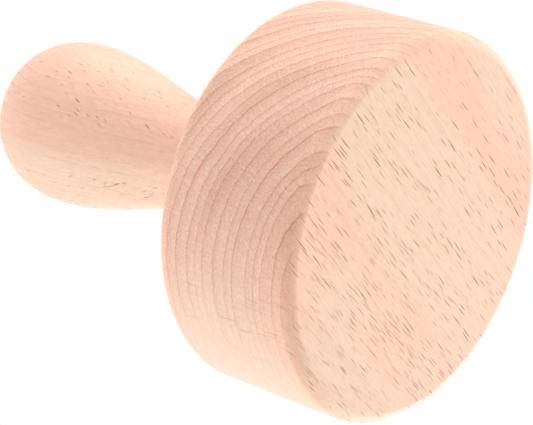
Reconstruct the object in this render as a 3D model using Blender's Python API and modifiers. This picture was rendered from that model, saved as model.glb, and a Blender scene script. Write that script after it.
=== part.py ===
"""A wide-faced beech muddler: a thick turned disc that does the pressing, and a bulb-ended palm handle
that is dowelled and glued to the disc's back.

Run with blender --background --python part.py. Lengths are metres, +Z is up.
The muddler stands on its pressing face. The origin is the centre of that face, +Z runs up the axis that
every piece is turned about, and +X runs along the grain of the board that the disc was turned from.
"""

import math

import bmesh
import bpy

# Driving dimensions of the head.
HEAD_DIAMETER = 0.090
HEAD_THICKNESS = 0.038
FACE_EDGE_RADIUS = 0.0037
FACE_EDGE_SWEEP = 80
BACK_EDGE_RADIUS = 0.0035

# Driving dimensions of the handle. Heights are measured from the pressing face.
OVERALL_HEIGHT = 0.125
BULB_DIAMETER = 0.040
BULB_DOME_HEIGHT = 0.020
BULB_DOME_FULLNESS = 2.3
WAIST_DIAMETER = 0.0206
WAIST_HEIGHT = 0.053
FOOT_DIAMETER = 0.025
FOOT_EDGE_RADIUS = 0.0008

# The hidden joint: a fluted dowel pin, half in the head and half in the handle.
DOWEL_DIAMETER = 0.012
DOWEL_LENGTH = 0.050
DOWEL_CHAMFER = 0.001
FLUTE_COUNT = 12
FLUTE_RADIUS = 0.0005
FLUTE_CUTTER_LENGTH = 0.060
BORE_END_ROOM = 0.001
BORE_MOUTH_CHAMFER = 0.0008

# The film of glue between two pieces.
GLUE_GAP = 0.0003

# How finely round shapes are divided.
TURNING_STEPS = 72
EDGE_STEPS = 5
FLARE_STEPS = 5
SWELL_STEPS = 14
DOME_STEPS = 12
FLUTE_SIDES = 8
SHARP_ANGLE = math.radians(30)
WELD_DISTANCE = 1e-5

# Sizes that follow from the driving dimensions.
HEAD_RADIUS = HEAD_DIAMETER / 2
BULB_RADIUS = BULB_DIAMETER / 2
WAIST_RADIUS = WAIST_DIAMETER / 2
FOOT_RADIUS = FOOT_DIAMETER / 2
FOOT_HEIGHT = HEAD_THICKNESS + GLUE_GAP
HANDLE_LENGTH = OVERALL_HEIGHT - FOOT_HEIGHT
BORE_RADIUS = DOWEL_DIAMETER / 2 + GLUE_GAP
BORE_DEPTH = DOWEL_LENGTH / 2 + BORE_END_ROOM

# Beech, with its colour and roughness.
HEAD_BEECH = ((0.89, 0.63, 0.47, 1.0), 0.55)
HANDLE_BEECH = ((0.86, 0.58, 0.43, 1.0), 0.50)
DOWEL_BEECH = ((0.80, 0.58, 0.40, 1.0), 0.70)


def clear_scene():
    for old in list(bpy.data.objects):
        bpy.data.objects.remove(old)


def new_collection(name):
    collection = bpy.data.collections.new(name)
    bpy.context.scene.collection.children.link(collection)
    return collection


def wood_material(name, finish):
    colour, roughness = finish
    material = bpy.data.materials.new(name)
    material.use_nodes = True
    shader = material.node_tree.nodes["Principled BSDF"]
    shader.inputs["Base Color"].default_value = colour
    shader.inputs["Roughness"].default_value = roughness
    shader.inputs["Metallic"].default_value = 0.0
    return material


def corner(centre_r, centre_z, radius, start, end):
    """Points of a rounded corner in the (radius, height) plane, from one angle to another in degrees."""
    points = []
    for step in range(EDGE_STEPS + 1):
        angle = math.radians(start + (end - start) * step / EDGE_STEPS)
        points.append((centre_r + radius * math.cos(angle), centre_z + radius * math.sin(angle)))
    return points


def head_outline():
    """The head's half section: up the blind bore, out over the back, down the rim, in across the face.

    The face's edge is rounded by less than a quarter turn, so it meets the face at a soft crease.
    """
    bore_floor = HEAD_THICKNESS - BORE_DEPTH
    outline = [
        (0.0, bore_floor),
        (BORE_RADIUS, bore_floor),
        (BORE_RADIUS, HEAD_THICKNESS - BORE_MOUTH_CHAMFER),
        (BORE_RADIUS + BORE_MOUTH_CHAMFER, HEAD_THICKNESS),
    ]
    back_r = HEAD_RADIUS - BACK_EDGE_RADIUS
    outline += corner(back_r, HEAD_THICKNESS - BACK_EDGE_RADIUS, BACK_EDGE_RADIUS, 90, 0)
    face_edge_z = FACE_EDGE_RADIUS * math.sin(math.radians(FACE_EDGE_SWEEP))
    outline += corner(HEAD_RADIUS - FACE_EDGE_RADIUS, face_edge_z, FACE_EDGE_RADIUS, 0, -FACE_EDGE_SWEEP)
    outline.append((0.0, 0.0))
    return outline


def dome_points(widest):
    """The bulb's crown, from its pole down to its widest section, a little fuller than a half sphere."""
    points = []
    for step in range(DOME_STEPS + 1):
        angle = math.pi / 2 * (1 - step / DOME_STEPS)
        out = math.cos(angle) ** (2 / BULB_DOME_FULLNESS) if step else 0.0
        up = math.sin(angle) ** (2 / BULB_DOME_FULLNESS) if step < DOME_STEPS else 0.0
        points.append((BULB_RADIUS * out, widest + BULB_DOME_HEIGHT * up))
    return points


def handle_outline():
    """The handle's half section, with heights from its foot: down the outside, then up its blind bore."""
    widest = HANDLE_LENGTH - BULB_DOME_HEIGHT
    waist = WAIST_HEIGHT - FOOT_HEIGHT
    outline = dome_points(widest)
    for step in range(1, SWELL_STEPS + 1):
        share = 1 - step / SWELL_STEPS
        swell = share * share * (3 - 2 * share)
        radius = WAIST_RADIUS + (BULB_RADIUS - WAIST_RADIUS) * swell
        outline.append((radius, waist + (widest - waist) * share))
    for step in range(1, FLARE_STEPS):
        share = step / FLARE_STEPS
        radius = WAIST_RADIUS + (FOOT_RADIUS - WAIST_RADIUS) * share * share
        outline.append((radius, waist * (1 - share)))
    outline += corner(FOOT_RADIUS - FOOT_EDGE_RADIUS, FOOT_EDGE_RADIUS, FOOT_EDGE_RADIUS, 0, -90)
    outline += [
        (BORE_RADIUS + BORE_MOUTH_CHAMFER, 0.0),
        (BORE_RADIUS, BORE_MOUTH_CHAMFER),
        (BORE_RADIUS, BORE_DEPTH),
        (0.0, BORE_DEPTH),
    ]
    return outline


def dowel_outline():
    """The plain pin's half section, with heights from its middle."""
    radius, half = DOWEL_DIAMETER / 2, DOWEL_LENGTH / 2
    return [
        (0.0, half),
        (radius - DOWEL_CHAMFER, half),
        (radius, half - DOWEL_CHAMFER),
        (radius, DOWEL_CHAMFER - half),
        (radius - DOWEL_CHAMFER, -half),
        (0.0, -half),
    ]


def bake_modifiers(obj):
    """Turns the object's modifiers into its own mesh, smooth except at hard corners."""
    bpy.context.view_layer.update()
    evaluated = obj.evaluated_get(bpy.context.evaluated_depsgraph_get())
    mesh = bpy.data.meshes.new_from_object(evaluated)
    obj.modifiers.clear()
    obj.data = mesh
    mesh.name = obj.name
    mesh.shade_smooth()
    mesh.set_sharp_from_angle(angle=SHARP_ANGLE)


def turned(name, outline, material, collection):
    """A solid made by turning a half section, given as (radius, height) pairs, about the Z axis."""
    mesh = bpy.data.meshes.new(name)
    points = [(radius, 0.0, height) for radius, height in outline]
    edges = [(i, i + 1) for i in range(len(points) - 1)]
    mesh.from_pydata(points, edges, [])
    mesh.materials.append(material)
    obj = bpy.data.objects.new(name, mesh)
    collection.objects.link(obj)
    screw = obj.modifiers.new("turning", "SCREW")
    screw.axis = "Z"
    screw.angle = 2 * math.pi
    screw.steps = TURNING_STEPS
    screw.render_steps = TURNING_STEPS
    screw.use_merge_vertices = True
    screw.merge_threshold = WELD_DISTANCE
    bake_modifiers(obj)
    return obj


def flute_cutters(collection):
    """One mesh of parallel rods, each lying along the dowel's surface where a glue flute runs."""
    mesh = bpy.data.meshes.new("flute_cutters")
    shape = bmesh.new()
    for index in range(FLUTE_COUNT):
        made = bmesh.ops.create_cone(
            shape,
            cap_ends=True,
            segments=FLUTE_SIDES,
            radius1=FLUTE_RADIUS,
            radius2=FLUTE_RADIUS,
            depth=FLUTE_CUTTER_LENGTH,
        )
        turn = 2 * math.pi * index / FLUTE_COUNT
        place = (DOWEL_DIAMETER / 2 * math.cos(turn), DOWEL_DIAMETER / 2 * math.sin(turn), 0.0)
        bmesh.ops.translate(shape, verts=made["verts"], vec=place)
    shape.to_mesh(mesh)
    shape.free()
    obj = bpy.data.objects.new("flute_cutters", mesh)
    obj.hide_render = True
    obj.display_type = "WIRE"
    collection.objects.link(obj)
    return obj


def make_head(collection):
    return turned("pressing_head", head_outline(), wood_material("head_beech", HEAD_BEECH), collection)


def make_handle(collection):
    handle = turned("handle", handle_outline(), wood_material("handle_beech", HANDLE_BEECH), collection)
    handle.location.z = FOOT_HEIGHT
    return handle


def make_dowel(collection, cutters):
    dowel = turned("dowel_pin", dowel_outline(), wood_material("dowel_beech", DOWEL_BEECH), collection)
    flutes = dowel.modifiers.new("flutes", "BOOLEAN")
    flutes.operation = "DIFFERENCE"
    flutes.object = flute_cutters(cutters)
    bake_modifiers(dowel)
    dowel.location.z = HEAD_THICKNESS + GLUE_GAP / 2
    return dowel


def main():
    clear_scene()
    parts = new_collection("muddler")
    cutters = new_collection("cutters")
    axis = bpy.data.objects.new("turning_axis", None)
    parts.objects.link(axis)
    for piece in (make_head(parts), make_handle(parts), make_dowel(parts, cutters)):
        piece.parent = axis


main()
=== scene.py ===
"""The looks of a wide-faced beech muddler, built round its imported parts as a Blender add-on.

The head and the handle are turned again as fine surfaces: a geometry node tree draws the half section
of each from named sizes, and sweeps it round the Z axis. The dowel pin's fluted section is run along
that axis. All three are solid beech, whose grain runs through the piece: growth rings about the tree's
pith, rays that point at it, and fibres along it. Lengths are metres.
"""

import math

import bmesh
import bpy
from bpy.props import FloatProperty, FloatVectorProperty, IntProperty, PointerProperty
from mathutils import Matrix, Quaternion, Vector


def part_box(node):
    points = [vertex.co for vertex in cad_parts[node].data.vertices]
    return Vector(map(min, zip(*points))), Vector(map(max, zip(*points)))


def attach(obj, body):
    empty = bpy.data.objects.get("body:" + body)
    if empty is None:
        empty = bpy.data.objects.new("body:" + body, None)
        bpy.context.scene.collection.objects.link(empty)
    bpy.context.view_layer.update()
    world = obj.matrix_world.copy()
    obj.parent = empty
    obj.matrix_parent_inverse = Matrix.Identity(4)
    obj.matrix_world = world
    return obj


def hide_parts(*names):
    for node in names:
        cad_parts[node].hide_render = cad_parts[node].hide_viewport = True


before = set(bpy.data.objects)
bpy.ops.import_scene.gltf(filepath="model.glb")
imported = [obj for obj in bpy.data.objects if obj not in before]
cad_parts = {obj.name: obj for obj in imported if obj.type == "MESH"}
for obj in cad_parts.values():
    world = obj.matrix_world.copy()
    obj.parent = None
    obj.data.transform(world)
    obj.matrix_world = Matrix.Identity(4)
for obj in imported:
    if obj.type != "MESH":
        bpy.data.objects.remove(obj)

bl_info = {
    "name": "Beech Muddler",
    "version": (1, 0, 0),
    "blender": (4, 5, 0),
    "location": "View3D > Sidebar > Muddler",
    "description": "Turns a beech muddler's head, handle and dowel pin, and sets a stage for them",
    "category": "Object",
}

BODY = "root"

# How finely round shapes are divided, and where their shading breaks.
EDGE_STEPS = 14
CROWN_STEPS = 48
SWELL_STEPS = 64
FLARE_STEPS = 20
FOOT_EDGE_STEPS = 8
STEPS_PER_FLUTE = 12
SHARP_ANGLE = math.radians(30)
WELD_DISTANCE = 1e-6

# A narrow ring of facets inside the face's crease, which keeps the flat face evenly shaded up to it.
CREASE_RING = 0.0004

# The hair's breadth between the head's back and the handle's foot.
FOOT_GAP = 0.00003

# From the handle's widest section to the top of its crown.
CROWN_HEIGHT = 0.020

# Below one, this power makes the flutes of the dowel wide and round at the bottom.
FLUTE_ROUNDNESS = 0.7

# How far the growth rings stray from true circles: slowly, quickly, and in their widths.
RING_WANDER = 0.0009
RING_RIPPLE = 0.0005
RING_UNEVENNESS = 0.0019

# How often the rings' widths and shades change, in a metre out from the pith.
WIDTH_CHANGES = 170.0
SHADE_CHANGES = 190.0

# The shares of a year's growth at which its dark line begins, is full, begins to fade and is gone.
LINE_SEASON = (0.84, 0.95, 0.965, 1.0)

# Rays, measured round the pith, along the fibres and out from the pith: the distance between two, and
# half the size of one.
BOLD_RAYS = ((0.00062, 0.0068, 0.0080), (0.000118, 0.0026, 0.0036))
FINE_RAYS = ((0.00040, 0.0036, 0.0050), (0.000085, 0.0012, 0.0023))
FINE_RAY_SHARE = 0.72
RAY_SWAY = 0.0006
RAY_SCATTER = 0.9

# The distance from the pith at which the rays have that spacing.
RAY_RADIUS = 0.060

# Nearer the pith than this, the places for rays crowd together and fewer of them are filled.
CROWDED_RADIUS = 0.038

# How strongly each pattern shows on the long grain, and on the end grain.
RINGS_SHOW = (0.09, 0.69)
FINE_RAYS_SHOW = (0.20, 0.75)
BOLD_RAYS_SHOW = (1.0, 0.45)
PORES_SHOW = (0.15, 0.45)
SPELLS_SHOW = (0.0, 0.28)

# How strongly the streaks show on a surface that cuts the rays, and on one that lies along them.
STREAKS_SHOW = (0.04, 0.11)

# How far a surface lies along the rays when their flecks begin to be lost and when they're nearly gone,
# and what is left of them there.
FLECKS_LOST = (0.82, 0.97)
FLECKS_LEFT = 0.03

# The pink bands: how far they drift, where they begin and are full, and how strong they are.
PINK_DRIFT = 1.3
PINK_RANGE = (0.40, 1.20)
PINK_STRENGTH = 0.85

# How strongly the wood's tone moves red, green and blue. Darker wood is redder too, so red moves least.
TONE_DEPTHS = (0.70, 1.10, 1.30)

# How widely the sanded fibres scatter their pale bloom.
SHEEN_ROUGHNESS = 0.4

# How the wood lies in each piece: its turn, the distance of the piece's origin from the pith, the tint
# of the surface, the tint of painted light on its turned edges, and its traits, which are the beech
# tree's inputs.
UPRIGHT = (math.radians(90), math.radians(-18), math.radians(90))
HEAD_WOOD = {
    "turn": (0.0, 0.0, 0.0),
    "from_pith": (0.0, 0.0390, 0.0383),
    "tint": (1.0, 1.0, 1.0),
    "painted_edge_light": (1.13, 1.09, 1.07),
    "traits": {
        "End Depth": 0.9,
        "Blush": 0.15,
        "Silver": 0.60,
        "Ray Share": 0.76,
        "Ray Length": 0.94,
        "Ray Width": 0.92,
        "Seed": 0.0,
    },
}
HANDLE_WOOD = {
    "turn": UPRIGHT,
    "from_pith": (0.0, 0.0, 0.037),
    "tint": (0.98, 0.99, 1.01),
    "painted_edge_light": (1.01, 1.06, 1.09),
    "traits": {
        "End Depth": 0.05,
        "Blush": 0.90,
        "Silver": 0.0,
        "Ray Share": 0.50,
        "Ray Length": 0.36,
        "Ray Width": 0.95,
        "Seed": 3.7,
    },
}
DOWEL_WOOD = {
    "turn": UPRIGHT,
    "from_pith": (0.0, 0.0, 0.050),
    "tint": (0.96, 0.96, 0.92),
    "painted_edge_light": (0.96, 0.96, 0.92),
    "traits": {
        "End Depth": 0.6,
        "Blush": 0.0,
        "Silver": 0.0,
        "Ray Share": 0.40,
        "Ray Length": 0.60,
        "Ray Width": 1.2,
        "Seed": 8.1,
    },
}

# The soft lamps: the direction of each from the muddler, and its power in watts.
LAMPS = {
    "top_lamp": ((0.53, 0.81, 0.25), 9.3),
    "side_lamp": ((-0.08, -0.93, 0.36), 9.0),
    "far_lamp": ((-0.97, 0.00, -0.23), 14.0),
    "low_lamp": ((-0.42, 0.51, -0.75), 3.7),
    "near_lamp": ((0.49, 0.59, -0.64), 4.5),
    "crown_lamp": ((0.42, -0.51, 0.75), 2.5),
}
LAMP_TARGET = Vector((0.0, 0.0, 0.05))

# The floor lies just under the muddler, and fades to plain white between two distances from it.
FLOOR_HEIGHT = -0.0002
FLOOR_SIDES = 96
FLOOR_FADE = (0.08, 0.40)
FLOOR_ROUGHNESS = 0.9

WHITE = (1.0, 1.0, 1.0, 1.0)

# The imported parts' lowest and highest corners, straight after loading.
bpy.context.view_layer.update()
HEAD_LOW, HEAD_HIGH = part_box("pressing_head")
HANDLE_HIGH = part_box("handle")[1]
DOWEL_LOW, DOWEL_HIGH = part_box("dowel_pin")


# --------------------------------------------------------------------------------------------------
# Sizes and colours
# --------------------------------------------------------------------------------------------------


def length(name, description, default):
    return FloatProperty(name=name, description=description, default=default, unit="LENGTH", precision=5)


def colour(name, description, default):
    return FloatVectorProperty(
        name=name, description=description, default=default, subtype="COLOR", size=3
    )


def number(name, description, default, **limits):
    return FloatProperty(name=name, description=description, default=default, **limits)


def angle(name, description, degrees):
    return FloatProperty(
        name=name, description=description, default=math.radians(degrees), unit="ROTATION"
    )


class HeadSettings(bpy.types.PropertyGroup):
    """The thick disc that does the pressing."""

    radius: length("Radius", "Radius of the disc", HEAD_HIGH.x)
    thickness: length("Thickness", "From the pressing face to the back", HEAD_HIGH.z - HEAD_LOW.z)
    face_edge: length("Face edge", "Rounding between the pressing face and the rim", 0.0037)
    face_sweep: angle("Face edge sweep", "How far that rounding turns before it meets the face", 80)
    back_edge: length("Back edge", "Rounding between the rim and the back", 0.0035)
    sides: IntProperty(name="Sides", description="Divisions of one turn", default=256, min=16)


class HandleSettings(bpy.types.PropertyGroup):
    """The palm handle, with heights from the pressing face."""

    foot_height: length("Foot height", "Height of the foot, clear of the head", HEAD_HIGH.z + FOOT_GAP)
    foot_radius: length("Foot radius", "Radius where the handle meets the head", 0.0125)
    foot_edge: length("Foot edge", "Rounding of the foot's edge", 0.0008)
    waist_height: length("Waist height", "Height of the narrowest section", 0.053)
    waist_radius: length("Waist radius", "Radius of the narrowest section", 0.0103)
    bulb_height: length("Bulb height", "Height of the widest section", HANDLE_HIGH.z - CROWN_HEIGHT)
    bulb_radius: length("Bulb radius", "Radius of the widest section", HANDLE_HIGH.x)
    top_height: length("Top height", "Height of the crown", HANDLE_HIGH.z)
    crown_fullness: number("Crown fullness", "How square the crown's shoulders are; 0.55 is a ball", 0.64)
    sides: IntProperty(name="Sides", description="Divisions of one turn", default=192, min=16)


class DowelSettings(bpy.types.PropertyGroup):
    """The hidden fluted pin, and the bores it is glued into."""

    radius: length("Radius", "Radius of the pin over its flutes", DOWEL_HIGH.x)
    length: length("Length", "Length of the pin", DOWEL_HIGH.z - DOWEL_LOW.z)
    chamfer: length("Chamfer", "Chamfer at each end", 0.001)
    flute_depth: length("Flute depth", "Depth of the glue flutes", 0.0005)
    flutes: IntProperty(name="Flutes", description="Glue flutes round the pin", default=12, min=3)
    bore_radius: length("Bore radius", "Radius of the bores in head and handle", 0.0063)
    bore_depth: length("Bore depth", "Depth of each bore", 0.026)
    mouth: length("Bore mouth", "Chamfer at the mouth of each bore", 0.0008)


class BeechSettings(bpy.types.PropertyGroup):
    """Steamed beech: its colours, and the sizes of its rings, rays and fibres."""

    early_wood: colour("Early wood", "Wood that grew in spring", (0.905, 0.610, 0.438))
    late_wood: colour("Late wood", "The dark line that ends each ring", (0.60, 0.21, 0.12))
    blush: colour("Blush", "Soft pink bands along the fibres", (0.94, 0.550, 0.400))
    end_wood: colour("End grain", "Wood cut across its fibres", (0.835, 0.512, 0.383))
    fleck: colour("Fleck", "Rays cut across, on the long grain", (0.45, 0.13, 0.05))
    ray_line: colour("Ray line", "Rays seen edge on, on the end grain", (0.94, 0.72, 0.58))
    ring_width: length("Ring width", "One year's growth", 0.0027)
    blush_start: length("Blush start", "From the pith to the first pink band", 0.0430)
    blush_spacing: length("Blush spacing", "From one pink band to the next", 0.0355)
    roughness: number("Roughness", "Roughness of the sanded surface", 0.58, min=0.0, max=1.0)
    sheen: number("Sheen", "Pale bloom of the sanded fibres at a glancing view", 0.20, min=0.0, max=1.0)
    relief: length("Relief", "Height of the raised grain", 0.00006)


class StageSettings(bpy.types.PropertyGroup):
    """The camera, the lamps and the floor."""

    aim: FloatVectorProperty(
        name="Aim",
        description="Where the camera looks",
        default=(0.01659, -0.01375, 0.02656),
        unit="LENGTH",
    )
    distance: length("Distance", "From the aim to the camera", 0.5277)
    azimuth: angle("Azimuth", "Camera's bearing round the muddler", 68.23)
    elevation: angle("Elevation", "Camera's height above the horizon", -37.68)
    roll: angle("Roll", "Camera's turn about its own line of sight", -71.65)
    focal_length: number("Focal length", "Camera's lens in millimetres", 161.4)
    floor_radius: length("Floor radius", "Radius of the floor", 3.0)
    floor_tone: colour("Floor", "Colour of the floor", (0.90, 0.90, 0.90))
    fill: number("Fill", "Strength of the light from all round", 0.55, min=0.0)
    lamp_distance: length("Lamp distance", "From the muddler to each lamp", 1.3)
    lamp_size: length("Lamp size", "Width of each square lamp", 0.9)


class MuddlerSettings(bpy.types.PropertyGroup):
    """Everything that a user would change."""

    head: PointerProperty(type=HeadSettings)
    handle: PointerProperty(type=HandleSettings)
    dowel: PointerProperty(type=DowelSettings)
    beech: PointerProperty(type=BeechSettings)
    stage: PointerProperty(type=StageSettings)


# --------------------------------------------------------------------------------------------------
# Node trees
# --------------------------------------------------------------------------------------------------


class Tree:
    """Adds nodes to a node tree. An input is given a plain value, or the output of another node."""

    def __init__(self, tree):
        self.tree = tree

    def node(self, kind, inputs=None, **settings):
        node = self.tree.nodes.new(kind)
        for name, value in settings.items():
            setattr(node, name, value)
        for key, value in (inputs or {}).items():
            self.feed(node.inputs[key], value)
        return node

    def feed(self, socket, value):
        if isinstance(value, bpy.types.NodeSocket):
            self.tree.links.new(value, socket)
        else:
            socket.default_value = value

    def math(self, operation, *values):
        return self.node("ShaderNodeMath", dict(enumerate(values)), operation=operation).outputs[0]

    def add(self, *values):
        return self.math("ADD", *values)

    def sub(self, *values):
        return self.math("SUBTRACT", *values)

    def mul(self, *values):
        return self.math("MULTIPLY", *values)

    def vector(self, x, y, z=0.0):
        return self.node("ShaderNodeCombineXYZ", {0: x, 1: y, 2: z}).outputs[0]

    def split(self, vector):
        """The three parts of a vector."""
        return self.node("ShaderNodeSeparateXYZ", {0: vector}).outputs

    def stretch(self, vector, factors):
        """The vector with each of its axes multiplied by a factor of its own."""
        return self.node("ShaderNodeVectorMath", {0: vector, 1: factors}, operation="MULTIPLY").outputs[0]


def open_tree(name, kind, inputs, outputs):
    """A new node tree with its sockets: the tree, its inputs by name, and its output node."""
    tree = bpy.data.node_groups.new(name, kind)
    for socket, socket_kind in inputs.items():
        tree.interface.new_socket(socket, in_out="INPUT", socket_type="NodeSocket" + socket_kind)
    for socket, socket_kind in outputs.items():
        tree.interface.new_socket(socket, in_out="OUTPUT", socket_type="NodeSocket" + socket_kind)
    made = Tree(tree)
    return made, made.node("NodeGroupInput").outputs, made.node("NodeGroupOutput")


# --------------------------------------------------------------------------------------------------
# Turning
# --------------------------------------------------------------------------------------------------


def through(tree, places):
    """A curve that joins places in their order."""
    chosen = tree.node("GeometryNodeIndexSwitch", data_type="VECTOR")
    for _ in range(len(places) - 2):
        chosen.index_switch_items.new()
    tree.feed(chosen.inputs[0], tree.node("GeometryNodeInputIndex").outputs[0])
    for order, place in enumerate(places, start=1):
        tree.feed(chosen.inputs[order], place)
    cloud = tree.node("GeometryNodePoints", {"Count": len(places), "Position": chosen.outputs[0]})
    return tree.node("GeometryNodePointsToCurves", {"Points": cloud.outputs[0]}).outputs[0]


def outline(tree, points):
    """A curve through points in the half section: radius along X, height along Y."""
    return through(tree, [tree.vector(radius, height) for radius, height in points])


def bend(tree, start, start_handle, end_handle, end, steps):
    """A smooth stretch of the half section between two points."""
    ends = {
        "Start": tree.vector(*start),
        "Start Handle": tree.vector(*start_handle),
        "End Handle": tree.vector(*end_handle),
        "End": tree.vector(*end),
    }
    return tree.node(
        "GeometryNodeCurvePrimitiveBezierSegment", {"Resolution": steps, **ends}, mode="POSITION"
    ).outputs[0]


def arc(tree, centre, radius, start, end, steps):
    """A stretch of circle in the half section. Its ends are angles up from straight out, in radians."""
    # A curve handle that follows a circle reaches 4/3 of the tangent of a quarter of the sweep.
    reach = tree.mul(tree.mul(radius, 4 / 3), tree.math("TANGENT", tree.mul(tree.sub(end, start), 0.25)))
    places, handles = [], []
    for slope, side in ((start, 1.0), (end, -1.0)):
        out, up = tree.math("COSINE", slope), tree.math("SINE", slope)
        place = (tree.add(centre[0], tree.mul(radius, out)), tree.add(centre[1], tree.mul(radius, up)))
        pull = tree.mul(reach, side)
        places.append(place)
        handles.append((tree.sub(place[0], tree.mul(pull, up)), tree.add(place[1], tree.mul(pull, out))))
    return bend(tree, places[0], handles[0], handles[1], places[1], steps)


def joined(tree, stretches):
    """Stretches that meet end to end, as one curve."""
    join = tree.node("GeometryNodeJoinGeometry")
    for stretch in stretches:
        wire = tree.node("GeometryNodeCurveToMesh", {"Curve": stretch}).outputs[0]
        tree.feed(join.inputs[0], wire)
    welded = tree.node(
        "GeometryNodeMergeByDistance", {"Geometry": join.outputs[0], "Distance": WELD_DISTANCE}
    ).outputs[0]
    return tree.node("GeometryNodeMeshToCurve", {"Mesh": welded}).outputs[0]


def turn(tree, half_section, sides, result, material):
    """Sweeps a half section once round the Z axis, closes it at the axis, and finishes the tree."""
    guide_radius = 0.001
    guide = tree.node("GeometryNodeCurvePrimitiveCircle", {"Resolution": sides, "Radius": guide_radius})
    # A circle carries the section's X outwards and its Y down, so its heights are turned over first.
    placed = tree.node(
        "GeometryNodeTransform",
        {"Geometry": half_section, "Translation": (-guide_radius, 0.0, 0.0), "Scale": (1.0, -1.0, 1.0)},
    ).outputs[0]
    swept = tree.node(
        "GeometryNodeCurveToMesh", {"Curve": guide.outputs["Curve"], "Profile Curve": placed}
    ).outputs[0]
    welded = tree.node(
        "GeometryNodeMergeByDistance", {"Geometry": swept, "Distance": WELD_DISTANCE}
    ).outputs[0]
    finish_tree(tree, welded, result, material)


def finish_tree(tree, solid, result, material):
    real = tree.node("GeometryNodeRealizeInstances", {"Geometry": solid}).outputs[0]
    coated = tree.node("GeometryNodeSetMaterial", {"Geometry": real, "Material": material}).outputs[0]
    tree.feed(result.inputs["Solid"], coated)


def head_tree():
    """Turns the head: a disc with rounded edges and a blind bore in its back."""
    sizes = {
        "Radius": "Float",
        "Thickness": "Float",
        "Face Edge": "Float",
        "Face Edge Sweep": "Float",
        "Back Edge": "Float",
        "Bore Radius": "Float",
        "Bore Depth": "Float",
        "Bore Mouth": "Float",
        "Sides": "Int",
        "Wood": "Material",
    }
    tree, given, result = open_tree("turned head", "GeometryNodeTree", sizes, {"Solid": "Geometry"})
    radius, thickness = given["Radius"], given["Thickness"]
    bore, mouth = given["Bore Radius"], given["Bore Mouth"]
    back_edge, face_edge, sweep = given["Back Edge"], given["Face Edge"], given["Face Edge Sweep"]
    floor = tree.sub(thickness, given["Bore Depth"])
    back_r = tree.sub(radius, back_edge)
    back = outline(
        tree,
        [
            (0.0, floor),
            (bore, floor),
            (bore, tree.sub(thickness, mouth)),
            (tree.add(bore, mouth), thickness),
            (back_r, thickness),
        ],
    )
    upper_centre = (back_r, tree.sub(thickness, back_edge))
    upper_edge = arc(tree, upper_centre, back_edge, math.pi / 2, 0.0, EDGE_STEPS)
    # The rounding stops short of a quarter turn, so its centre is a little lower than its radius.
    edge_height = tree.mul(face_edge, tree.math("SINE", sweep))
    lower_centre = (tree.sub(radius, face_edge), edge_height)
    lower_edge = arc(tree, lower_centre, face_edge, 0.0, tree.mul(sweep, -1.0), EDGE_STEPS)
    crease = tree.sub(radius, tree.mul(face_edge, tree.sub(1.0, tree.math("COSINE", sweep))))
    rim = outline(tree, [(radius, tree.sub(thickness, back_edge)), (radius, edge_height)])
    face = outline(tree, [(crease, 0.0), (tree.sub(crease, CREASE_RING), 0.0), (0.0, 0.0)])
    section = joined(tree, [back, upper_edge, rim, lower_edge, face])
    turn(tree, section, given["Sides"], result, given["Wood"])
    return tree.tree


def handle_tree():
    """Turns the handle: a crown, a swell down to the waist, a flare to the foot, and a bore up it."""
    sizes = {
        "Foot Height": "Float",
        "Foot Radius": "Float",
        "Foot Edge": "Float",
        "Waist Height": "Float",
        "Waist Radius": "Float",
        "Bulb Height": "Float",
        "Bulb Radius": "Float",
        "Top Height": "Float",
        "Crown Fullness": "Float",
        "Bore Radius": "Float",
        "Bore Depth": "Float",
        "Bore Mouth": "Float",
        "Sides": "Int",
        "Wood": "Material",
    }
    tree, given, result = open_tree("turned handle", "GeometryNodeTree", sizes, {"Solid": "Geometry"})
    foot, foot_radius, edge = given["Foot Height"], given["Foot Radius"], given["Foot Edge"]
    waist, waist_radius = given["Waist Height"], given["Waist Radius"]
    bulb, bulb_radius, top = given["Bulb Height"], given["Bulb Radius"], given["Top Height"]
    bore, mouth = given["Bore Radius"], given["Bore Mouth"]
    full = given["Crown Fullness"]
    crown = bend(
        tree,
        (0.0, top),
        (tree.mul(bulb_radius, full), top),
        (bulb_radius, tree.add(bulb, tree.mul(tree.sub(top, bulb), full))),
        (bulb_radius, bulb),
        CROWN_STEPS,
    )
    third = tree.mul(tree.sub(bulb, waist), 1 / 3)
    swell = bend(
        tree,
        (bulb_radius, bulb),
        (bulb_radius, tree.sub(bulb, third)),
        (waist_radius, tree.add(waist, third)),
        (waist_radius, waist),
        SWELL_STEPS,
    )
    foot_top = tree.add(foot, edge)
    third = tree.mul(tree.sub(waist, foot_top), 1 / 3)
    narrow = tree.add(waist_radius, tree.mul(tree.sub(foot_radius, waist_radius), 1 / 3))
    flare = bend(
        tree,
        (waist_radius, waist),
        (waist_radius, tree.sub(waist, third)),
        (narrow, tree.add(foot_top, third)),
        (foot_radius, foot_top),
        FLARE_STEPS,
    )
    inner = tree.sub(foot_radius, edge)
    foot_edge = arc(tree, (inner, foot_top), edge, 0.0, -math.pi / 2, FOOT_EDGE_STEPS)
    bore_top = tree.add(foot, given["Bore Depth"])
    socket = outline(
        tree,
        [
            (inner, foot),
            (tree.add(bore, mouth), foot),
            (bore, tree.add(foot, mouth)),
            (bore, bore_top),
            (0.0, bore_top),
        ],
    )
    section = joined(tree, [crown, swell, flare, foot_edge, socket])
    turn(tree, section, given["Sides"], result, given["Wood"])
    return tree.tree


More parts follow.
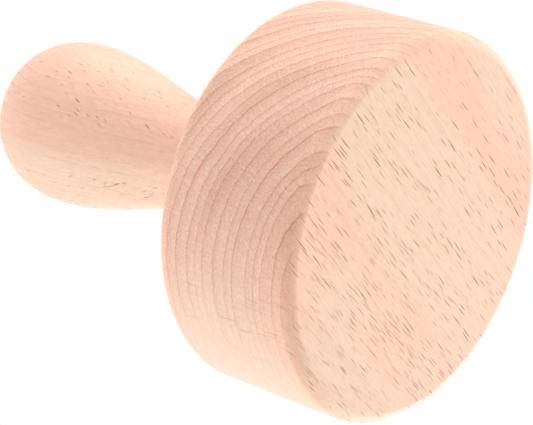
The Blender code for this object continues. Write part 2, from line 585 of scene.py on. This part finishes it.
def dowel_tree():
    """Draws the pin: a round section with rounded flutes, run along Z and chamfered at both ends."""
    sizes = {
        "Radius": "Float",
        "Low End": "Float",
        "High End": "Float",
        "Chamfer": "Float",
        "Flute Depth": "Float",
        "Flutes": "Int",
        "Wood": "Material",
    }
    tree, given, result = open_tree("fluted dowel", "GeometryNodeTree", sizes, {"Solid": "Geometry"})
    count = tree.mul(given["Flutes"], STEPS_PER_FLUTE)
    radius = given["Radius"]
    circle = tree.node("GeometryNodeCurvePrimitiveCircle", {"Resolution": count, "Radius": radius})
    index = tree.node("GeometryNodeInputIndex").outputs[0]
    wave = tree.math("COSINE", tree.mul(index, 2 * math.pi / STEPS_PER_FLUTE))
    groove = tree.math("POWER", tree.math("MAXIMUM", wave, 0.0), FLUTE_ROUNDNESS)
    position = tree.node("GeometryNodeInputPosition").outputs[0]
    outward = tree.node("ShaderNodeVectorMath", {0: position}, operation="NORMALIZE").outputs[0]
    inward = tree.node(
        "ShaderNodeVectorMath",
        {0: outward, "Scale": tree.mul(groove, tree.mul(given["Flute Depth"], -1.0))},
        operation="SCALE",
    ).outputs[0]
    section = tree.node(
        "GeometryNodeSetPosition", {"Geometry": circle.outputs["Curve"], "Offset": inward}
    ).outputs[0]
    low, high, chamfer = given["Low End"], given["High End"], given["Chamfer"]
    heights = (low, tree.add(low, chamfer), tree.sub(high, chamfer), high)
    spine = through(tree, [tree.vector(0.0, 0.0, height) for height in heights])
    at_end = tree.node("GeometryNodeCurveEndpointSelection").outputs[0]
    scale = tree.sub(1.0, tree.mul(at_end, tree.math("DIVIDE", chamfer, radius)))
    solid = tree.node(
        "GeometryNodeCurveToMesh",
        {"Curve": spine, "Profile Curve": section, "Scale": scale, "Fill Caps": True},
    ).outputs[0]
    finish_tree(tree, solid, result, given["Wood"])
    return tree.tree


def made_by(name, tree, sizes):
    """A plain mesh object, made by running a geometry node tree with the given sizes."""
    piece = bpy.data.objects.new(name, bpy.data.meshes.new(name))
    bpy.context.scene.collection.objects.link(piece)
    modifier = piece.modifiers.new("shape", "NODES")
    modifier.node_group = tree
    for item in tree.interface.items_tree:
        if item.in_out == "INPUT":
            modifier[item.identifier] = sizes[item.name]
    bpy.context.view_layer.update()
    evaluated = piece.evaluated_get(bpy.context.evaluated_depsgraph_get())
    mesh = bpy.data.meshes.new_from_object(evaluated)
    piece.modifiers.remove(modifier)
    piece.data = mesh
    shape = bmesh.new()
    shape.from_mesh(mesh)
    if not shape.faces or any(not edge.is_manifold for edge in shape.edges):
        raise RuntimeError(f"{name} isn't a closed solid")
    bmesh.ops.recalc_face_normals(shape, faces=shape.faces)
    shape.to_mesh(mesh)
    shape.free()
    mesh.name = name
    mesh.shade_smooth()
    mesh.set_sharp_from_angle(angle=SHARP_ANGLE)
    return piece


def stand_in(piece, node):
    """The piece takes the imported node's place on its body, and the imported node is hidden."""
    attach(piece, BODY)
    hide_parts(node)


# --------------------------------------------------------------------------------------------------
# Beech
# --------------------------------------------------------------------------------------------------


def noise(tree, vector, detail=2.0, roughness=0.5):
    """Smooth noise between about -1 and 1."""
    raw = tree.node(
        "ShaderNodeTexNoise", {"Vector": vector, "Scale": 1.0, "Detail": detail, "Roughness": roughness}
    ).outputs[0]
    return tree.mul(tree.sub(raw, 0.5), 2.0)


def grain_noise(tree, place, along, across, detail=2.0, roughness=0.5):
    """Noise drawn out along the fibres. Along and across say how often it changes in a metre."""
    return noise(tree, tree.stretch(place, (along, across, across)), detail, roughness)


def smooth_step(tree, value, start, end, low=0.0, high=1.0):
    """Low before start, high after end, and smooth between them."""
    return tree.node(
        "ShaderNodeMapRange",
        {"Value": value, "From Min": start, "From Max": end, "To Min": low, "To Max": high},
        interpolation_type="SMOOTHSTEP",
    ).outputs[0]


def between(tree, share, first, second):
    """One number passing into another, as the share goes from 0 to 1."""
    return tree.add(first, tree.mul(share, second - first))


def blend(tree, share, first, second):
    """One colour passing into another. The node's colours are its inputs 6 and 7 and its output 2."""
    return tree.node(
        "ShaderNodeMix", {0: share, 6: first, 7: second}, data_type="RGBA", blend_type="MIX"
    ).outputs[2]


def weighted(tree, *parts):
    """The sum of several patterns, each with a weight of its own."""
    total = 0.0
    for pattern, weight in parts:
        total = tree.add(total, tree.mul(pattern, weight))
    return total


def opaque(tint):
    """A colour with full alpha, as a colour socket needs it."""
    return (*tint, 1.0)


def beech_tree(beech):
    """Solid beech. The wood's own axes are X along the fibres, and Y and Z across them from the pith."""
    sockets = {
        "Wood Position": "Vector",
        "Wood Normal": "Vector",
        "End Depth": "Float",
        "Blush": "Float",
        "Silver": "Float",
        "Ray Share": "Float",
        "Ray Length": "Float",
        "Ray Width": "Float",
        "Seed": "Float",
    }
    results = {"Colour": "Color", "Roughness": "Float", "Height": "Float"}
    tree, given, result = open_tree("beech", "ShaderNodeTree", sockets, results)
    position, seed = given["Wood Position"], given["Seed"]
    seeded = tree.node("ShaderNodeVectorMath", {0: position, 1: tree.vector(seed, 0.0)}).outputs[0]
    along, across, up = tree.split(position)
    from_pith = tree.math("SQRT", tree.add(tree.mul(across, across), tree.mul(up, up)))
    bearing = tree.math("ARCTAN2", up, across)

    # How far the surface cuts across the fibres, and how far it lies along the rays.
    facing = tree.split(given["Wood Normal"])
    end_grain = smooth_step(tree, tree.math("ABSOLUTE", facing[0]), 0.12, 0.95)
    round_way = tree.sub(tree.mul(facing[2], across), tree.mul(facing[1], up))
    quarter = tree.math("ABSOLUTE", tree.math("DIVIDE", round_way, from_pith))

    # The patterns in the wood. Pores and fibres are long and thin along the trunk.
    line, late, spell = growth_rings(tree, beech, seeded, seed, from_pith, bearing)
    sway = tree.mul(grain_noise(tree, seeded, along=35.0, across=40.0), RAY_SWAY)
    place = tree.vector(tree.add(tree.mul(bearing, RAY_RADIUS), sway), along, from_pith)
    width = given["Ray Width"]
    bold_rays = ray_mask(tree, place, BOLD_RAYS, given["Ray Share"], given["Ray Length"], width)
    fine_rays = ray_mask(tree, place, FINE_RAYS, FINE_RAY_SHARE, 1.0, width)
    pores = grain_noise(tree, seeded, along=420.0, across=2100.0, detail=3.0, roughness=0.75)
    streaks = grain_noise(tree, seeded, along=45.0, across=1300.0, detail=3.0)
    drift = grain_noise(tree, seeded, along=14.0, across=34.0)

    # The ground colour: broad soft bands of pink, a silvery bloom along the rays, and deeper end grain.
    turns = tree.math("DIVIDE", tree.sub(from_pith, beech.blush_start), beech.blush_spacing)
    wave = tree.math("COSINE", tree.mul(turns, 2 * math.pi))
    wave = tree.add(tree.add(wave, given["Blush"]), tree.mul(drift, PINK_DRIFT))
    pink = tree.mul(smooth_step(tree, wave, *PINK_RANGE), PINK_STRENGTH)
    body = blend(tree, pink, opaque(beech.early_wood), opaque(beech.blush))
    bloom = tree.mul(tree.sub(1.0, end_grain), given["Silver"])
    bloom = tree.mul(tree.math("POWER", quarter, 16.0), bloom)
    body = blend(tree, bloom, body, opaque(beech.ray_line))
    body = blend(tree, tree.mul(end_grain, given["End Depth"]), body, opaque(beech.end_wood))

    # Rings are strong on the end grain and faint on the long grain, and late wood is half as dark as the
    # line that ends it.
    strength = between(tree, end_grain, *RINGS_SHOW)
    body = blend(tree, tree.mul(late, tree.mul(strength, 0.50)), body, opaque(beech.late_wood))
    body = blend(tree, tree.mul(line, strength), body, opaque(beech.late_wood))

    # Rays are dark flecks on the long grain and pale lines on the end grain, and are lost on a surface
    # that lies along them.
    fleck = blend(tree, end_grain, opaque(beech.fleck), opaque(beech.ray_line))
    cut_across = smooth_step(tree, quarter, *FLECKS_LOST, 1.0, FLECKS_LEFT)
    for rays, show in ((fine_rays, FINE_RAYS_SHOW), (bold_rays, BOLD_RAYS_SHOW)):
        strength = tree.mul(tree.mul(rays, cut_across), between(tree, end_grain, *show))
        body = blend(tree, strength, body, fleck)

    tone = weighted(
        tree,
        (pores, between(tree, end_grain, *PORES_SHOW)),
        (spell, between(tree, end_grain, *SPELLS_SHOW)),
        (streaks, between(tree, quarter, *STREAKS_SHOW)),
    )
    tones = tree.vector(*(tree.add(1.0, tree.mul(tone, depth)) for depth in TONE_DEPTHS))
    tree.feed(result.inputs["Colour"], tree.stretch(body, tones))

    # Rays are a little rougher than the rest, and lie a little lower.
    rough = weighted(tree, (pores, 0.05), (bold_rays, 0.10))
    tree.feed(result.inputs["Roughness"], tree.add(beech.roughness, rough))
    height = weighted(tree, (pores, 0.25), (streaks, 0.20), (line, 0.35), (bold_rays, -0.80))
    tree.feed(result.inputs["Height"], height)
    return tree.tree


def growth_rings(tree, beech, place, seed, from_pith, bearing):
    """The dark line that ends each ring, the late wood before it, and darker and paler spells."""
    wander = tree.mul(grain_noise(tree, place, along=12.0, across=60.0), RING_WANDER)
    ripple = grain_noise(tree, place, along=90.0, across=420.0, detail=4.0, roughness=0.65)
    radius = tree.add(tree.add(from_pith, wander), tree.mul(ripple, RING_RIPPLE))
    uneven = noise(tree, tree.vector(tree.mul(radius, WIDTH_CHANGES), seed), detail=0.0)

    # A season runs from 0, in spring, to 1 at the year's end.
    uneven = tree.mul(uneven, RING_UNEVENNESS)
    age = tree.math("DIVIDE", tree.add(radius, uneven), beech.ring_width)
    season = tree.math("FRACT", age)
    late = tree.math("POWER", season, 2.5)
    begins, full, fades, gone = LINE_SEASON
    line = smooth_step(tree, season, begins, full)
    line = tree.mul(line, smooth_step(tree, season, fades, gone, 1.0, 0.0))

    # Each year's line has a depth of its own, and is broken here and there.
    year = tree.node("ShaderNodeTexWhiteNoise", {"W": tree.math("FLOOR", age)}, noise_dimensions="1D")
    broken = grain_noise(tree, place, along=60.0, across=190.0)
    depth = tree.add(0.28, weighted(tree, (year.outputs[0], 0.62), (broken, 0.55)))

    # Darker and paler spells follow the rings, and change slowly round the pith.
    spell = tree.vector(tree.mul(radius, SHADE_CHANGES), seed, tree.mul(bearing, 2.0))
    return tree.mul(line, depth), late, noise(tree, spell, detail=1.0)


def ray_mask(tree, place, kind, share, reach, width):
    """Where rays are, from 0 to 1. Each is a lens: thin round the pith, longer along it and out from it.

    Share is the part of the places that hold a ray. Reach and width stretch the rays along and across.
    """
    spacing, half_size = kind
    widening = tree.math("DIVIDE", tree.split(place)[2], RAY_RADIUS)
    cell = tree.stretch(place, tuple(1 / gap for gap in spacing))
    found = tree.node("ShaderNodeTexVoronoi", {"Vector": cell, "Scale": 1.0, "Randomness": RAY_SCATTER})
    middle = found.outputs["Position"]
    away = tree.node("ShaderNodeVectorMath", {0: cell, 1: middle}, operation="SUBTRACT").outputs[0]
    away = tree.split(tree.stretch(away, tuple(gap / half for gap, half in zip(spacing, half_size))))
    chance = tree.node("ShaderNodeSeparateColor", {0: found.outputs["Color"]}).outputs
    size = between(tree, chance[0], 0.65, 1.35)
    lengthways = tree.math("DIVIDE", away[1], tree.mul(size, reach))
    lens = tree.sub(1.0, tree.add(tree.mul(lengthways, lengthways), tree.mul(away[2], away[2])))
    sideways = tree.mul(tree.math("ABSOLUTE", away[0]), widening)
    depth_inside = tree.sub(lens, tree.math("DIVIDE", sideways, tree.mul(size, width)))
    inside = smooth_step(tree, depth_inside, 0.0, 0.5)
    filled = tree.mul(share, tree.math("MINIMUM", tree.mul(widening, RAY_RADIUS / CROWDED_RADIUS), 1.0))
    present = tree.math("LESS_THAN", chance[2], filled)
    return tree.mul(tree.mul(inside, present), between(tree, chance[1], 0.45, 1.0))


def grain_of(beech):
    """The beech tree, made once and shared by all three pieces."""
    return bpy.data.node_groups.get("beech") or beech_tree(beech)


def beech_material(name, wood, beech):
    """Beech for one piece, from the shared tree and the way that the wood lies in the piece."""
    material = bpy.data.materials.new(name)
    material.use_nodes = True
    tree = Tree(material.node_tree)
    shader = material.node_tree.nodes["Principled BSDF"]
    surface = tree.node("ShaderNodeTexCoord").outputs
    turned, offset = wood["turn"], wood["from_pith"]
    place = tree.node(
        "ShaderNodeMapping", {"Vector": surface["Object"], "Location": offset, "Rotation": turned}
    )
    facing = tree.node("ShaderNodeMapping", {"Vector": surface["Normal"], "Rotation": turned})
    grain = tree.node("ShaderNodeGroup", node_tree=grain_of(beech))
    tree.feed(grain.inputs["Wood Position"], place.outputs[0])
    tree.feed(grain.inputs["Wood Normal"], facing.outputs[0])
    for trait, value in wood["traits"].items():
        tree.feed(grain.inputs[trait], value)

    # A turned edge leans between up and out. Surfaces that lean halfway are given the edge tint, which is
    # painted light: it makes the rounded edges lighter and paler by their slope.
    lean = tree.math("ABSOLUTE", tree.split(surface["Normal"])[2])
    edge = tree.mul(tree.mul(lean, tree.sub(1.0, lean)), 4.0)
    tint = blend(tree, edge, opaque(wood["tint"]), opaque(wood["painted_edge_light"]))
    raised = tree.node("ShaderNodeBump", {"Height": grain.outputs["Height"], "Distance": beech.relief})
    shader.inputs["Sheen Weight"].default_value = beech.sheen
    shader.inputs["Sheen Roughness"].default_value = SHEEN_ROUGHNESS
    tree.feed(shader.inputs["Base Color"], tree.stretch(grain.outputs["Colour"], tint))
    tree.feed(shader.inputs["Roughness"], grain.outputs["Roughness"])
    tree.feed(shader.inputs["Normal"], raised.outputs[0])
    return material


# --------------------------------------------------------------------------------------------------
# Operators
# --------------------------------------------------------------------------------------------------


class MUDDLER_OT_turn_head(bpy.types.Operator):
    """Turns the head from one board, its fibres along X"""

    bl_idname = "muddler.turn_head"
    bl_label = "Turn Head"

    def execute(self, context):
        settings = context.scene.muddler
        head, dowel = settings.head, settings.dowel
        wood = beech_material("head_beech", HEAD_WOOD, settings.beech)
        sizes = {
            "Radius": head.radius,
            "Thickness": head.thickness,
            "Face Edge": head.face_edge,
            "Face Edge Sweep": head.face_sweep,
            "Back Edge": head.back_edge,
            "Bore Radius": dowel.bore_radius,
            "Bore Depth": dowel.bore_depth,
            "Bore Mouth": dowel.mouth,
            "Sides": head.sides,
            "Wood": wood,
        }
        stand_in(made_by("turned_head", head_tree(), sizes), "pressing_head")
        return {"FINISHED"}


class MUDDLER_OT_turn_handle(bpy.types.Operator):
    """Turns the handle between centres, its fibres along Z"""

    bl_idname = "muddler.turn_handle"
    bl_label = "Turn Handle"

    def execute(self, context):
        settings = context.scene.muddler
        handle, dowel = settings.handle, settings.dowel
        wood = beech_material("handle_beech", HANDLE_WOOD, settings.beech)
        sizes = {
            "Foot Height": handle.foot_height,
            "Foot Radius": handle.foot_radius,
            "Foot Edge": handle.foot_edge,
            "Waist Height": handle.waist_height,
            "Waist Radius": handle.waist_radius,
            "Bulb Height": handle.bulb_height,
            "Bulb Radius": handle.bulb_radius,
            "Top Height": handle.top_height,
            "Crown Fullness": handle.crown_fullness,
            "Bore Radius": dowel.bore_radius,
            "Bore Depth": dowel.bore_depth,
            "Bore Mouth": dowel.mouth,
            "Sides": handle.sides,
            "Wood": wood,
        }
        stand_in(made_by("turned_handle", handle_tree(), sizes), "handle")
        return {"FINISHED"}


class MUDDLER_OT_flute_dowel(bpy.types.Operator):
    """Makes the fluted dowel pin that joins the handle to the head"""

    bl_idname = "muddler.flute_dowel"
    bl_label = "Flute Dowel"

    def execute(self, context):
        settings = context.scene.muddler
        dowel = settings.dowel
        wood = beech_material("dowel_beech", DOWEL_WOOD, settings.beech)
        sizes = {
            "Radius": dowel.radius,
            "Low End": DOWEL_LOW.z,
            "High End": DOWEL_LOW.z + dowel.length,
            "Chamfer": dowel.chamfer,
            "Flute Depth": dowel.flute_depth,
            "Flutes": dowel.flutes,
            "Wood": wood,
        }
        stand_in(made_by("fluted_dowel", dowel_tree(), sizes), "dowel_pin")
        return {"FINISHED"}


class MUDDLER_OT_set_stage(bpy.types.Operator):
    """Lays the floor, hangs the lamps and places the camera"""

    bl_idname = "muddler.set_stage"
    bl_label = "Set Stage"

    def execute(self, context):
        stage = context.scene.muddler.stage
        lay_floor(stage)
        light_world(context.scene, stage)
        hang_lamps(stage)
        place_camera(context.scene, stage)
        context.scene.view_settings.view_transform = "Standard"
        return {"FINISHED"}


def lay_floor(stage):
    """A pale floor just under the pressing face, seen from above only. It blocks no light from below."""
    shape = bmesh.new()
    bmesh.ops.create_circle(shape, cap_ends=True, segments=FLOOR_SIDES, radius=stage.floor_radius)
    bmesh.ops.translate(shape, verts=shape.verts, vec=(0.0, 0.0, FLOOR_HEIGHT))
    mesh = bpy.data.meshes.new("floor")
    shape.to_mesh(mesh)
    shape.free()
    floor = bpy.data.objects.new("floor", mesh)
    bpy.context.scene.collection.objects.link(floor)
    floor.visible_diffuse = False
    floor.visible_glossy = False
    floor.visible_transmission = False
    floor.visible_shadow = False
    mesh.materials.append(floor_material(stage))


def floor_material(stage):
    """A matt floor that fades to white with distance, and is clear from below."""
    material = bpy.data.materials.new("floor")
    material.use_nodes = True
    nodes = material.node_tree.nodes
    tree = Tree(material.node_tree)
    shader = nodes["Principled BSDF"]
    shader.inputs["Base Color"].default_value = opaque(stage.floor_tone)
    shader.inputs["Roughness"].default_value = FLOOR_ROUGHNESS
    shader.inputs["Specular IOR Level"].default_value = 0.0
    place = tree.node("ShaderNodeTexCoord").outputs["Object"]
    distance = tree.node("ShaderNodeVectorMath", {0: place}, operation="LENGTH").outputs["Value"]
    white = tree.node("ShaderNodeEmission", {"Color": WHITE, "Strength": 1.0}).outputs[0]
    far = smooth_step(tree, distance, *FLOOR_FADE)
    faded = tree.node("ShaderNodeMixShader", {0: far, 1: shader.outputs[0], 2: white}).outputs[0]
    behind = tree.node("ShaderNodeNewGeometry").outputs["Backfacing"]
    clear = tree.node("ShaderNodeBsdfTransparent").outputs[0]
    one_sided = tree.node("ShaderNodeMixShader", {0: behind, 1: faded, 2: clear}).outputs[0]
    tree.feed(nodes["Material Output"].inputs["Surface"], one_sided)
    return material


def light_world(scene, stage):
    """Even light from all round. The camera, mirrors and glass see it as plain white."""
    world = bpy.data.worlds.new("light tent")
    scene.world = world
    world.use_nodes = True
    tree = Tree(world.node_tree)
    background = world.node_tree.nodes["Background"]
    background.inputs["Color"].default_value = WHITE
    path = tree.node("ShaderNodeLightPath").outputs
    seen = tree.math("MAXIMUM", path["Is Camera Ray"], path["Is Glossy Ray"])
    seen = tree.math("MAXIMUM", seen, path["Is Transmission Ray"])
    # The node's numbers are its inputs 2 and 3.
    strength = tree.node("ShaderNodeMix", {0: seen, 2: stage.fill, 3: 1.0}, data_type="FLOAT").outputs[0]
    tree.feed(background.inputs["Strength"], strength)


def hang_lamps(stage):
    """Large soft lamps all round, each turned to the muddler."""
    for name, (direction, power) in LAMPS.items():
        lamp = bpy.data.lights.new(name, "AREA")
        lamp.size = stage.lamp_size
        lamp.energy = power
        holder = bpy.data.objects.new(name, lamp)
        bpy.context.scene.collection.objects.link(holder)
        outward = Vector(direction).normalized()
        holder.location = LAMP_TARGET + outward * stage.lamp_distance
        holder.rotation_mode = "QUATERNION"
        holder.rotation_quaternion = (-outward).to_track_quat("-Z", "Y")


def place_camera(scene, stage):
    """The camera, by its bearing, elevation and distance from its aim, and its roll about that line."""
    side = math.cos(stage.elevation)
    back = Vector(
        (math.sin(stage.azimuth) * side, -math.cos(stage.azimuth) * side, math.sin(stage.elevation))
    )
    camera = bpy.data.objects.new("camera", bpy.data.cameras.new("camera"))
    scene.collection.objects.link(camera)
    camera.location = Vector(stage.aim) + back * stage.distance
    camera.rotation_mode = "QUATERNION"
    camera.rotation_quaternion = (-back).to_track_quat("-Z", "Y") @ Quaternion((0, 0, 1), stage.roll)
    camera.data.lens = stage.focal_length
    camera.data.clip_start = 0.01
    camera.data.clip_end = 20.0
    scene.camera = camera


class VIEW3D_PT_muddler(bpy.types.Panel):
    """Lists the muddler's operators"""

    bl_label = "Beech Muddler"
    bl_space_type = "VIEW_3D"
    bl_region_type = "UI"
    bl_category = "Muddler"

    def draw(self, context):
        for operator in OPERATORS:
            self.layout.operator(operator.bl_idname)


OPERATORS = (MUDDLER_OT_turn_head, MUDDLER_OT_turn_handle, MUDDLER_OT_flute_dowel, MUDDLER_OT_set_stage)
CLASSES = (
    HeadSettings,
    HandleSettings,
    DowelSettings,
    BeechSettings,
    StageSettings,
    MuddlerSettings,
    *OPERATORS,
    VIEW3D_PT_muddler,
)


def register():
    for made in CLASSES:
        bpy.utils.register_class(made)
    bpy.types.Scene.muddler = PointerProperty(type=MuddlerSettings)


def unregister():
    del bpy.types.Scene.muddler
    for made in reversed(CLASSES):
        bpy.utils.unregister_class(made)


def main():
    register()
    bpy.ops.muddler.turn_head()
    bpy.ops.muddler.turn_handle()
    bpy.ops.muddler.flute_dowel()
    bpy.ops.muddler.set_stage()


if __name__ == "__main__":
    main()
